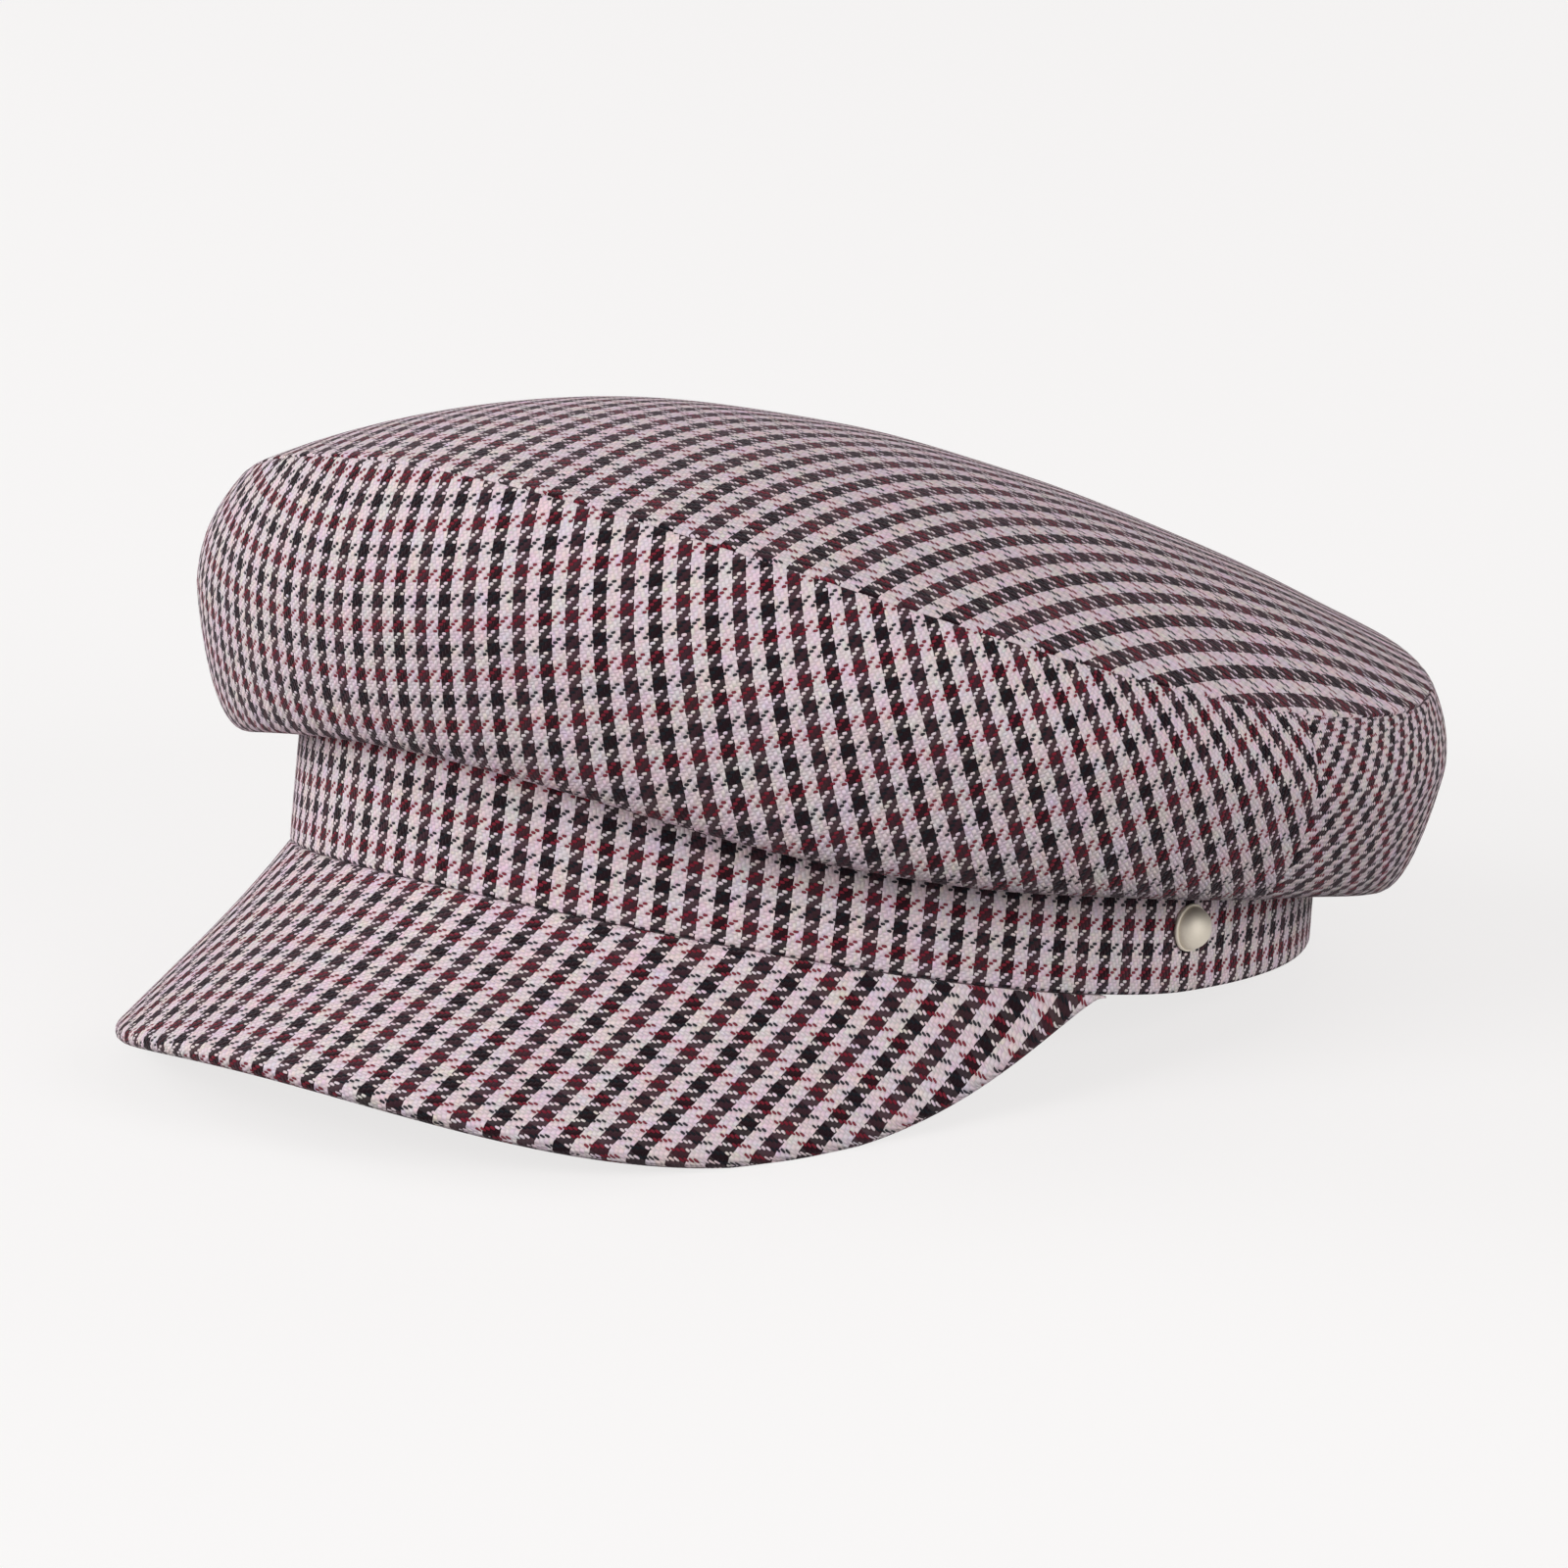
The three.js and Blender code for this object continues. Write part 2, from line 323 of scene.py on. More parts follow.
def makePiece(name, form, place, grain, weld, spread=None):
    # Moves the form's points to their place, and lays the cloth's grain into a UV map. Angles
    # of one face are kept within half a turn of each other, so that no face spans the wrap.
    mesh = bpy.data.meshes.new(name)
    form.to_mesh(mesh)
    form.free()
    co = readPoints(mesh)
    angle = np.arctan2(co[:, 0], -co[:, 1])
    inner = np.hypot(co[:, 0], co[:, 1]) < (formSize["outerRadius"] + formSize["innerRadius"]) / 2
    height = co[:, 2]

    corner = np.empty(len(mesh.loops), int)
    mesh.loops.foreach_get("vertex_index", corner)
    starts = np.empty(len(mesh.polygons), int)
    mesh.polygons.foreach_get("loop_start", starts)
    counts = np.empty(len(mesh.polygons), int)
    mesh.polygons.foreach_get("loop_total", counts)
    first = np.repeat(angle[corner[starts]], counts)
    turned = angle[corner]
    turned = turned + 2 * halfTurn * np.round((first - turned) / (2 * halfTurn))
    if spread:
        angle = spread(angle)
        turned = spread(turned)
    uv = grain(turned, height[corner])
    layer = mesh.uv_layers.new(name="cloth")
    layer.data.foreach_set("uv", uv.ravel())

    points = settle(place(angle, height, inner)) * millimetre
    mesh.vertices.foreach_set("co", points.ravel())
    shaped = bmesh.new()
    shaped.from_mesh(mesh)
    bmesh.ops.remove_doubles(shaped, verts=shaped.verts[:], dist=weld * millimetre)
    bmesh.ops.dissolve_degenerate(shaped, edges=shaped.edges[:], dist=formSize["sliver"])
    if shaped.calc_volume(signed=True) < 0:
        bmesh.ops.reverse_faces(shaped, faces=shaped.faces[:])
    shaped.to_mesh(mesh)
    shaped.free()
    return addPiece(name, mesh)


def sheetDepth(wall, distance, inner, edge, dip=seamLook["dip"], reach=seamLook["reach"]):
    # Depth of a sheet in the cloth. It sinks a little towards a seam, and meets the other
    # sheet at the edge itself.
    sunk = dip * np.clip(1 - distance / reach, 0, 1) ** 2
    return np.where(edge, wall / 2, np.where(inner, wall, sunk))


# Slow unevenness of cloth that has been handled: each wave's millimetres per radian, and the
# radians it starts at. The lengths don't divide each other, so nothing repeats.
rippleWaves = {
    "broadX": 31,
    "broadXStart": 1.3,
    "broadXSway": 27,
    "broadY": 37,
    "broadYStart": 0.4,
    "broadZ": 23,
    "broadZSway": 61,
    "closeX": 13,
    "closeXSway": 17,
    "closeXStart": 2.1,
    "closeZ": 11,
    "closeZSway": 19,
    "closeZStart": 0.7,
    "closeShare": 0.35,
}


def ripple(points, size):
    wave = rippleWaves
    x, y, z = (points[..., k] for k in range(3))
    broad = np.sin(x / wave["broadX"] + wave["broadXStart"] + np.sin(z / wave["broadXSway"]))
    broad = broad * np.sin(y / wave["broadY"] + wave["broadYStart"])
    broad = broad * np.sin(z / wave["broadZ"] + x / wave["broadZSway"])
    close = np.sin(x / wave["closeX"] + y / wave["closeXSway"] + wave["closeXStart"])
    close = close * np.sin(z / wave["closeZ"] - y / wave["closeZSway"] + wave["closeZStart"])
    return size * (broad + wave["closeShare"] * close)


def pathLength(surface, angle, height, start, pieces=measureSteps["fine"]):
    # Length along the cloth from a start height to each point's height
    total = np.zeros_like(height)
    last = surface(angle, np.full_like(height, start))
    for k in range(1, pieces + 1):
        here = surface(angle, start + (height - start) * k / pieces)
        total += length(here - last)
        last = here
    return total * np.sign(height - start)


# Cloth grain on the crown's side. Each panel is cut as an arch: where its rows lie level the
# columns of the check stand upright, and towards its ends both lean over to its middle. The
# columns also bow a little as they climb, because the cloth was steamed over the round form,
# and the last ones before a side seam stand closer together.
frontGrain = {
    "levelAt": np.radians(-11),
    "columns": 0.92,
    "columnsEndMore": 0.6,
    "columnsEndFrom": 0.78,
    "rows": 1.09,
    "rowLean": np.radians(40),
    "rowLeanReach": np.radians(95),
    "rowLeanPower": 0.72,
    "columnLean": 0.27,
    "columnLeanGrowth": 0.069,
    "middleBow": 0.0034,
    "middleBowAt": np.radians(13),
    "bowReach": np.radians(22),
    "sideBow": -0.0022,
    "topBow": 0,
    "rowEase": 8.6e-5,
    "rowSqueeze": 2.3e-5,
}

backGrain = frontGrain | {
    "levelAt": halfTurn,
    "columns": 0.98,
    "rowLean": np.radians(46),
    "columnLeanGrowth": 0.1,
    "middleBow": 0,
    "sideBow": 0.0016,
    "topBow": 0.018,
    "rowSqueeze": 0,
}


def panelGrain(look):
    end = measureSteps["pastEnds"] * quarterTurn
    places = np.linspace(-end, end, measureSteps["panelLine"])
    line = crownPoint(places + look["levelAt"], np.zeros_like(places))
    steps = np.concatenate([[0], length(np.diff(line, axis=0))])
    share = np.abs(places) / look["rowLeanReach"]
    rowLean = look["rowLean"] * np.sign(places) * share ** look["rowLeanPower"]
    columnLean = places * (look["columnLean"] + look["columnLeanGrowth"] * np.abs(places))
    around = np.cumsum(steps)
    pastFrom = np.clip(np.abs(places) / quarterTurn, look["columnsEndFrom"], 1) - look["columnsEndFrom"]
    columns = look["columns"] * (1 + look["columnsEndMore"] * pastFrom)
    alongU = np.cumsum(columns * np.cos(columnLean) * steps)
    upU = columns * np.sin(columnLean)
    alongV = np.cumsum(-look["rows"] * np.sin(rowLean) * steps)
    bump = np.exp(-(((places - look["middleBowAt"]) / look["bowReach"]) ** 2))
    bow = look["middleBow"] * bump + look["sideBow"] * np.tanh(places / look["bowReach"])
    topBow = look["topBow"] * np.tanh(places / look["bowReach"])
    for values in (around, alongU, alongV):
        values -= np.interp(0, places, values)

    def grain(angle, height):
        local = (angle - look["levelAt"] + halfTurn) % (2 * halfTurn) - halfTurn
        up = pathLength(crownPoint, angle, height, 0.0)

        def here(values):
            return np.interp(local, places, values)

        u = here(alongU) + up * here(upU) + up ** 2 * here(bow)
        u += np.maximum(up, 0) ** 2 * here(topBow)
        rise = look["rows"] * np.cos(here(rowLean)) + look["rowSqueeze"] * here(around) * up
        v = here(alongV) + up * rise - look["rowEase"] * up ** 3
        return np.stack([u, v], -1)

    return grain


panelPiece = {
    "turns": 190,
    "rows": 52,
    "bottomRows": [0.006, 0.016, 0.03, 0.05],
    "topRows": [0.005, 0.014, 0.027, 0.042],
    "top": 0.998,
    "ripple": 0.35,
    "rippleFade": 12,
    "mitreReach": 0.1,
    "mitreLeast": 0.5,
    "wallFrom": 0.5,
    "steadyTo": 0.99,
    "weld": 0.005,
}


def panelPlace(middle, halfSpread):
    size = crownSize
    piece = panelPiece

    def place(angle, height, inner):
        local = (angle - middle + halfTurn) % (2 * halfTurn) - halfTurn
        edge = (height < tiny - 1) | (height > piece["top"] - tiny)
        edge |= np.abs(local) > halfSpread - formSize["weld"]
        outer = crownPoint(angle, height)
        normal = crownNormal(angle, height, crownPoint)
        nearSeam = np.clip(1 - (1 - height) / piece["mitreReach"], 0, 1)[..., None]
        wallNormal = crownNormal(angle, np.minimum(height, piece["steadyTo"]), crownWall)
        normal = np.where(height[..., None] > piece["wallFrom"], wallNormal, normal)
        through = unit(normal * (1 - nearSeam) + seamMitre(angle) * nearSeam)
        through = through / np.maximum((through * normal).sum(-1), piece["mitreLeast"])[..., None]
        toSeam = np.abs(pathLength(crownPoint, angle, height, 1.0, measureSteps["coarse"]))
        toBand = np.abs(pathLength(crownPoint, angle, height, -1.0, measureSteps["coarse"]))
        toSide = (quarterTurn - np.abs(local)) * size["halfWidth"]
        distance = np.minimum(np.minimum(toSeam, toBand), toSide)
        depth = sheetDepth(size["wall"], distance, inner, edge)
        fade = np.clip(distance / piece["rippleFade"], 0, 1)
        return outer - through * (depth - ripple(outer, piece["ripple"]) * fade)[..., None]

    return place


def makePanel(name, middle, look):
    piece = panelPiece
    halfSpread = quarterTurn - seamLook["gap"] / 2 / crownSize["halfWidth"]
    heights = rowHeights(-1, piece["top"], piece["rows"], piece["bottomRows"], piece["topRows"])
    form = spunForm(heights, middle - halfSpread, middle + halfSpread, piece["turns"])

    def spread(angle):
        # Closer columns of faces towards the side seams
        local = (angle - middle + halfTurn) % (2 * halfTurn) - halfTurn
        return middle + halfSpread * np.sin(np.clip(local / halfSpread, -1, 1) * quarterTurn)

    return makePiece(name, form, panelPlace(middle, halfSpread), panelGrain(look), piece["weld"], spread)


frontPanel = makePanel("crownFrontCloth", 0.0, frontGrain)
backPanel = makePanel("crownBackCloth", halfTurn, backGrain)


# Tip: its columns run from front to back
tipPiece = {
    "turns": 240,
    "rows": 60,
    "edge": 1.0008,
    "edgeRows": [0.0015, 0.004, 0.008, 0.013],
    "ripple": 0.4,
    "rippleFade": 12,
    "mitreReach": 0.022,
    "mitreLeast": 0.5,
    "steadyFrom": 1.005,
    "steadyTo": 1.985,
    "weld": 0.02,
}
tipCheck = {"columns": 0.9, "columnsEdgeLess": 3.9e-6, "slant": 0.03, "bend": 6.2e-4, "rows": 0.93}


def tipGrain(angle, height):
    look = tipCheck
    share, _ = seamPlace(angle)
    reach = np.abs(pathLength(crownTip, angle, height, 2.0))
    x = crownSize["halfWidth"] * np.sin(angle) * share * (2 - height)
    y = -reach * np.cos(angle)
    u = look["columns"] * x - look["columnsEdgeLess"] * x ** 3 + look["slant"] * y - look["bend"] * y ** 2
    return np.stack([u, look["rows"] * y], -1)


def tipPlace(angle, height, inner):
    piece = tipPiece
    outer = crownTip(angle, height)
    steady = np.clip(height, piece["steadyFrom"], piece["steadyTo"])
    normal = crownNormal(angle, steady, crownTip)
    nearSeam = np.clip(1 - (height - 1) / piece["mitreReach"], 0, 1)[..., None]
    through = unit(normal * (1 - nearSeam) + seamMitre(angle) * nearSeam)
    through = through / np.maximum((through * normal).sum(-1), piece["mitreLeast"])[..., None]
    distance = np.abs(pathLength(crownTip, angle, height, 1.0, measureSteps["coarse"]))
    depth = sheetDepth(crownSize["wall"], distance, inner, height < piece["edge"] + tiny)
    fade = np.clip(distance / piece["rippleFade"], 0, 1)
    return outer - through * (depth - ripple(outer, piece["ripple"]) * fade)[..., None]


def makeTip():
    piece = tipPiece
    heights = [piece["edge"] + step for step in [0, *piece["edgeRows"]]]
    heights += np.linspace(heights[-1], 2, piece["rows"] + 1)[1:].tolist()
    form = spunForm(heights, 0, 2 * halfTurn, piece["turns"])
    return makePiece("crownTipCloth", form, tipPlace, tipGrain, piece["weld"])


tipCloth = makeTip()


# Band: its columns stand upright, and its rows follow its edges
bandPiece = {
    "turns": 240,
    "rows": 24,
    "edgeRows": [0.12, 0.35, 0.65, 1.0],
    "edgeDip": 0.5,
    "ripple": 0.12,
    "rippleFade": 4,
    "weld": 0.02,
}
bandCheck = {"columns": 0.89, "rows": 1.08, "firstRow": 1.7, "frontLean": 0.04}


def bandGrain(angle, height):
    end = measureSteps["pastEnds"] * halfTurn
    places = np.linspace(-end, end, measureSteps["bandLine"])
    line = bandPoint(places, bandSize["height"] / 2)
    around = np.cumsum(np.concatenate([[0], length(np.diff(line, axis=0))]))
    around -= np.interp(0, places, around)
    wrapped = np.interp(angle, places, around)
    look = bandCheck
    lean = look["frontLean"] * np.maximum(np.cos(angle), 0) ** bandSize["riseSharpness"]
    u = look["columns"] * wrapped - lean * height
    return np.stack([u, look["rows"] * height + look["firstRow"]], -1)


def bandPlace(angle, height, inner):
    piece = bandPiece
    toEdge = np.minimum(height, bandSize["height"] - height)
    edge = toEdge < 10 * tiny
    depth = sheetDepth(bandSize["wall"], toEdge, inner, edge, piece["edgeDip"], piece["edgeRows"][-1])
    lift = ripple(bandPoint(angle, height), piece["ripple"]) * np.clip(toEdge / piece["rippleFade"], 0, 1)
    return bandPoint(angle, height, depth - lift)


def makeBand():
    piece = bandPiece
    heights = rowHeights(0, bandSize["height"], piece["rows"], piece["edgeRows"], piece["edgeRows"])
    form = spunForm(heights, 0, 2 * halfTurn, piece["turns"])
    return makePiece("bandCloth", form, bandPlace, bandGrain, piece["weld"])


bandCloth = makeBand()


# Peak: a stiff plate with the cloth rolled over its edge. Its form's height runs from -1 at the
# tongue under the band, over 0 at the band's edge, to 1 at its own edge, and its angle from side
# to side.
peakPiece = {
    "turns": 150,
    "tongueRows": [-1.0, -0.5],
    "rows": 44,
    "endShare": 0.035,
    "endRows": 6,
    "weld": 0.02,
}
peakCheck = {
    "columns": 0.86,
    "columnsSideMore": 0.77,
    "sideReach": 84,
    "rows": 1.32,
    "rowArch": 0.004,
    "studSideArch": 2.8e-7,
}


def peakPlate(across, height):
    # The plate's root, outward direction, normal, half thickness, reach, run and bend
    size = peakSize
    angle = across * size["halfSpread"]
    heading = angle * size["splay"]
    droop = size["droopCentre"] + size["droopSideMore"] * across ** 2
    zero = np.zeros_like(heading)
    level = point(np.sin(heading), -np.cos(heading), zero)
    up = point(zero, zero, zero + 1)
    cos, sin = np.cos(droop)[..., None], np.sin(droop)[..., None]
    root = bandPoint(angle, zero)
    root[..., 2] -= seamLook["gap"]
    fall = np.maximum(1 - np.abs(across) ** size["sideFall"], 0)
    width = size["width"] * fall ** size["sideRound"]
    thick = np.clip(width / size["thickenWithin"], 0, 1)
    half = (size["thinnest"] + (size["thickness"] - size["thinnest"]) * thick) / 2
    reach = np.maximum(width, size["leastReach"] + half)
    out = np.clip(height, 0, 1)
    share = width / size["width"]
    bend = -4 * size["dish"] * share * out * (1 - out)
    curled = np.clip((out - size["curlFrom"]) / (1 - size["curlFrom"]), 0, 1)
    bend -= size["curl"] * share ** 2 * curled ** 2
    return root, level * cos - up * sin, level * sin + up * cos, half, reach, reach * out, bend


def peakPlace(angle, height, inner):
    across = np.sin(angle)
    root, out, normal, half, reach, along, bend = peakPlate(across, height)
    edge = np.sqrt(np.clip(1 - (1 - np.clip((reach - along) / half, 0, 1)) ** 2, 0, 1))
    tuck = np.clip(-height, 0, 1)
    side = np.where(inner, tuck - 1, 1.0) * edge
    away = outward(across * peakSize["halfSpread"]) * (tuck * peakSize["tongue"])[..., None]
    lift = half * (np.clip(height, 0, 1) - 1 + side) + bend
    return root + out * along[..., None] - away + normal * lift[..., None]


def peakGrain(angle, height):
    # Columns run straight out to the front, as the plate is seen from above, and the cloth
    # keeps its length where it rolls over the edge
    look = peakCheck
    root, out, _, half, width, along, _ = peakPlate(np.sin(angle), height)
    rolled = 1 - np.clip((width - along) / half, 0, 1)
    run = along + half * (np.arcsin(rolled) - rolled) + np.minimum(height, 0)
    x, y = (root[..., k] + out[..., k] * run for k in (0, 1))
    side = look["sideReach"]
    u = look["columns"] * x + look["columnsSideMore"] * side / 4 * np.sign(x) * (np.abs(x) / side) ** 4
    arch = look["rowArch"] * x ** 2 + look["studSideArch"] * np.maximum(x, 0) ** 4
    return np.stack([u, look["rows"] * y - arch], -1)


def makePeak():
    piece = peakPiece
    close = np.linspace(1 - piece["endShare"], 1, piece["endRows"] + 1)
    main = np.linspace(0, 1 - piece["endShare"], piece["rows"] + 1)
    heights = piece["tongueRows"] + [float(h) for h in np.concatenate([main, close[1:]])]
    form = spunForm(heights, -quarterTurn, quarterTurn, piece["turns"])
    return makePiece("peakCloth", form, peakPlace, peakGrain, piece["weld"])


peakCloth = makePeak()


# Stud: a low metal dome with a narrow rim, lathed and set on the band
studPiece = {
    "turns": 64,
    "rimWidth": 0.5,
    "groove": 0.25,
    "grooveWidth": 0.12,
    "baseShare": 0.97,
    "baseRise": 0.12,
    "rimRoundUp": 0.2,
    "rimRoundIn": 0.15,
    "domeRows": 12,
}


def makeStud():
    piece = studPiece
    radius, rim = studSize["radius"], studSize["rim"]
    domeRadius = radius - piece["rimWidth"]
    domeRise = studSize["rise"] - rim
    turns = np.linspace(0, quarterTurn, piece["domeRows"])
    profile = [
        (0.0, 0.0),
        (radius * piece["baseShare"], 0.0),
        (radius, piece["baseRise"]),
        (radius, rim - piece["rimRoundUp"]),
        (radius - piece["rimRoundIn"], rim),
        (domeRadius + piece["grooveWidth"], rim),
        (domeRadius, rim - piece["groove"]),
    ]
    profile += [(domeRadius * float(np.cos(t)), rim + domeRise * float(np.sin(t))) for t in turns]
    shape = spunSheet([(out, 0, height) for out, height in profile], 2 * halfTurn, piece["turns"], tiny)
    mesh = bpy.data.meshes.new("studMetal")
    shape.to_mesh(mesh)
    shape.free()
    co = readPoints(mesh) * millimetre
    low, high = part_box("stud")
    middle = (low + high) / 2
    placed = point(low.x + co[:, 2], middle.y + co[:, 0], middle.z + co[:, 1])
    mesh.vertices.foreach_set("co", placed.ravel())
    return addPiece("studMetal", mesh)


studMetal = makeStud()


# Cloth: a 2/2 twill check of four dark and four pale threads each way. The dark threads take
# turns: black and brown along the columns, slate and wine along the rows. The wool is milled,
# so a little of the thread below shows through everywhere.
clothLook = {
    "thread": 0.6,
    "pale": (0.85, 0.702, 0.75, 1),
    "black": (0.013, 0.004, 0.007, 1),
    "brown": (0.046, 0.017, 0.024, 1),
    "slate": (0.008, 0.012, 0.017, 1),
    "wine": (0.22, 0.014, 0.030, 1),
    "warpRaise": 0.47,
    "mingle": 0.04,
    "threadVariation": 0.45,
    "patches": 0.28,
    "patchSize": 5.5,
    "fuzz": 0.35,
    "bumpDepth": 0.00022,
    "bumpStrength": 0.9,
    "roughness": 0.9,
    "specular": 0.12,
    "sheen": 0.14,
    "sheenRoughness": 0.5,
    "sheenTint": (0.9, 0.7, 0.78, 1),
}


class NodeBench:
    # Short helper that adds nodes to one tree and links them as it goes

    def __init__(self, tree):
        self.tree = tree

    def add(self, kind, **settings):
        node = self.tree.nodes.new(kind)
        for key, value in settings.items():
            setattr(node, key, value)
        return node

    def feed(self, socket, value):
        if isinstance(value, bpy.types.NodeSocket):
            self.tree.links.new(value, socket)
        else:
            socket.default_value = value

    def maths(self, operation, a, b=0.0, c=0.0):
        node = self.add("ShaderNodeMath", operation=operation)
        for socket, value in zip(node.inputs, (a, b, c)):
            self.feed(socket, value)
        return node.outputs[0]

    def mix(self, share, a, b):
        # A mix node's colours are its sockets 6 and 7, and its colour output is number 2
        node = self.add("ShaderNodeMix", data_type="RGBA")
        self.feed(node.inputs[0], share)
        self.feed(node.inputs[6], a)
        self.feed(node.inputs[7], b)
        return node.outputs[2]

    def tint(self, color, spots, strength):
        # Lets each channel of a colour drift on its own, by a noise's three channels
        centred = self.add("ShaderNodeVectorMath", operation="SUBTRACT")
        self.feed(centred.inputs[0], spots)
        centred.inputs[1].default_value = (0.5, 0.5, 0.5)
        drift = self.add("ShaderNodeVectorMath", operation="MULTIPLY_ADD")
        self.feed(drift.inputs[0], centred.outputs[0])
        self.feed(drift.inputs[1], strength)
        drift.inputs[2].default_value = (1, 1, 1)
        tinted = self.add("ShaderNodeVectorMath", operation="MULTIPLY")
        self.feed(tinted.inputs[0], color)
        self.feed(tinted.inputs[1], drift.outputs[0])
        return tinted.outputs[0]

    def noise(self, vector, scale, detail=2.0, roughness=0.5, output="Fac"):
        node = self.add("ShaderNodeTexNoise", noise_dimensions="3D")
        self.feed(node.inputs["Vector"], vector)
        self.feed(node.inputs["Scale"], scale)
        self.feed(node.inputs["Detail"], detail)
        self.feed(node.inputs["Roughness"], roughness)
        return node.outputs[output]

    def combine(self, x, y, z=0.0):
        node = self.add("ShaderNodeCombineXYZ")
        for socket, value in zip(node.inputs, (x, y, z)):
            self.feed(socket, value)
        return node.outputs[0]


def addSockets(group, direction, names):
    for name, kind, value in names:
        socket = group.interface.new_socket(name=name, in_out=direction, socket_type=kind)
        if value is not None:
            socket.default_value = value


# Make-up of the weave: a tone lasts four threads, and each thread goes over two and under two. The shade
# keys set the painted shade in the hollows between threads
weaveShape = {
    "threadsPerTone": 4,
    "floatRepeat": 4,
    "warpShift": 2.0,
    "weftShift": 3.0,
    "roundness": -3.6,
    "leastHeight": 0.02,
    "shadeLow": 0.62,
    "shadeMore": 0.38,
    "fuzzScale": 0.9,
    "spotsPerMillimetre": 0.16,
    "warpSeed": 3.0,
    "weftSeed": 17.0,
}


def buildTwillGroup():
    # Colour of the woven check, with painted shade where the threads sink, and its height, at a place
    # given in millimetres of cloth
    shape = weaveShape
    group = bpy.data.node_groups.new("wovenCheck", "ShaderNodeTree")
    addSockets(group, "INPUT", [
        ("Place", "NodeSocketVector", None),
        ("Thread", "NodeSocketFloat", 0.6),
        ("Pale", "NodeSocketColor", (1, 1, 1, 1)),
        ("Black", "NodeSocketColor", (0, 0, 0, 1)),
        ("Brown", "NodeSocketColor", (0.1, 0, 0, 1)),
        ("Slate", "NodeSocketColor", (0, 0, 0.1, 1)),
        ("Wine", "NodeSocketColor", (0.1, 0, 0, 1)),
        ("Warp Raise", "NodeSocketFloat", 0.3),
        ("Mingle", "NodeSocketFloat", 0.1),
        ("Thread Variation", "NodeSocketFloat", 0.2),
        ("Patches", "NodeSocketFloat", 0.2),
        ("Patch Size", "NodeSocketFloat", 6.0),
        ("Fuzz", "NodeSocketFloat", 0.3),
    ])
    addSockets(group, "OUTPUT", [
        ("Color", "NodeSocketColor", None),
        ("Height", "NodeSocketFloat", None),
    ])
    bench = NodeBench(group)
    given = bench.add("NodeGroupInput").outputs
    place = bench.add("ShaderNodeSeparateXYZ")
    bench.feed(place.inputs[0], given["Place"])
    wobble = bench.add("ShaderNodeSeparateColor")
    bench.feed(wobble.inputs[0], bench.noise(given["Place"], shape["fuzzScale"], output="Color"))

    def threadPlace(coordinate, wander):
        centred = bench.maths("SUBTRACT", wander, 0.5)
        moved = bench.maths("MULTIPLY_ADD", centred, given["Fuzz"], coordinate)
        return bench.maths("DIVIDE", moved, given["Thread"])

    x = threadPlace(place.outputs[0], wobble.outputs[0])
    y = threadPlace(place.outputs[1], wobble.outputs[1])
    i = bench.maths("FLOOR", x)
    j = bench.maths("FLOOR", y)

    def rise(along, number, shift):
        # Height of a thread along its length: over two, under two
        repeat = shape["floatRepeat"]
        offset = bench.maths("ADD", bench.maths("SUBTRACT", along, number), shift)
        wrapped = bench.maths("SUBTRACT", bench.maths("FLOORED_MODULO", offset, repeat), repeat / 2)
        near = bench.maths("MINIMUM", bench.maths("ABSOLUTE", wrapped), 1.0)
        return bench.maths("COSINE", bench.maths("MULTIPLY", near, quarterTurn))

    def bulge(across):
        side = bench.maths("SUBTRACT", bench.maths("FRACT", across), 0.5)
        squared = bench.maths("MULTIPLY", bench.maths("MULTIPLY", side, side), shape["roundness"])
        squared = bench.maths("MAXIMUM", bench.maths("ADD", squared, 1.0), shape["leastHeight"])
        return bench.maths("SQRT", squared)

    warpRise = rise(y, i, shape["warpShift"])
    weftRise = rise(x, j, shape["weftShift"])
    warpHeight = bench.maths("MULTIPLY_ADD", warpRise, bulge(x), given["Warp Raise"])
    weftHeight = bench.maths("MULTIPLY", weftRise, bulge(y))
    warpOver = bench.maths("GREATER_THAN", warpHeight, weftHeight)
    height = bench.maths("MAXIMUM", warpHeight, weftHeight)

    def threadColour(number, seed, along, firstDark, secondDark):
        tones = shape["threadsPerTone"]
        inPair = bench.maths("FLOORED_MODULO", number, 2 * tones)
        inRepeat = bench.maths("FLOORED_MODULO", number, 4 * tones)
        paleThread = bench.maths("GREATER_THAN", inPair, tones - 0.5)
        second = bench.maths("GREATER_THAN", inRepeat, 2 * tones - 0.5)
        darkTone = bench.mix(second, given[firstDark], given[secondDark])
        tone = bench.mix(paleThread, darkTone, given["Pale"])
        spot = bench.combine(bench.maths("MULTIPLY", along, shape["spotsPerMillimetre"]), number, seed)
        spots = bench.noise(spot, 1.0, detail=3.0, roughness=0.7, output="Color")
        return bench.tint(tone, spots, given["Thread Variation"])

    warp = threadColour(i, shape["warpSeed"], y, "Black", "Brown")
    weft = threadColour(j, shape["weftSeed"], x, "Slate", "Wine")
    clear = bench.maths("SUBTRACT", 1.0, bench.maths("MULTIPLY", given["Mingle"], 2.0))
    top = bench.mix(bench.maths("MULTIPLY_ADD", warpOver, clear, given["Mingle"]), weft, warp)
    patchScale = bench.maths("DIVIDE", 1.0, given["Patch Size"])
    patch = bench.noise(given["Place"], patchScale, roughness=0.6, output="Color")
    top = bench.tint(top, patch, given["Patches"])
    # Painted shade: the colour is darkened where a thread lies low between its neighbours, down to
    # shadeLow of itself where the height is nil
    lit = bench.maths("MINIMUM", height, 1.0)
    shade = bench.maths("MULTIPLY_ADD", lit, shape["shadeMore"], shape["shadeLow"])
    shaded = bench.add("ShaderNodeVectorMath", operation="SCALE")
    bench.feed(shaded.inputs[0], top)
    bench.feed(shaded.inputs["Scale"], shade)
    result = bench.add("NodeGroupOutput")
    bench.feed(result.inputs["Color"], shaded.outputs[0])
    bench.feed(result.inputs["Height"], height)
    return group


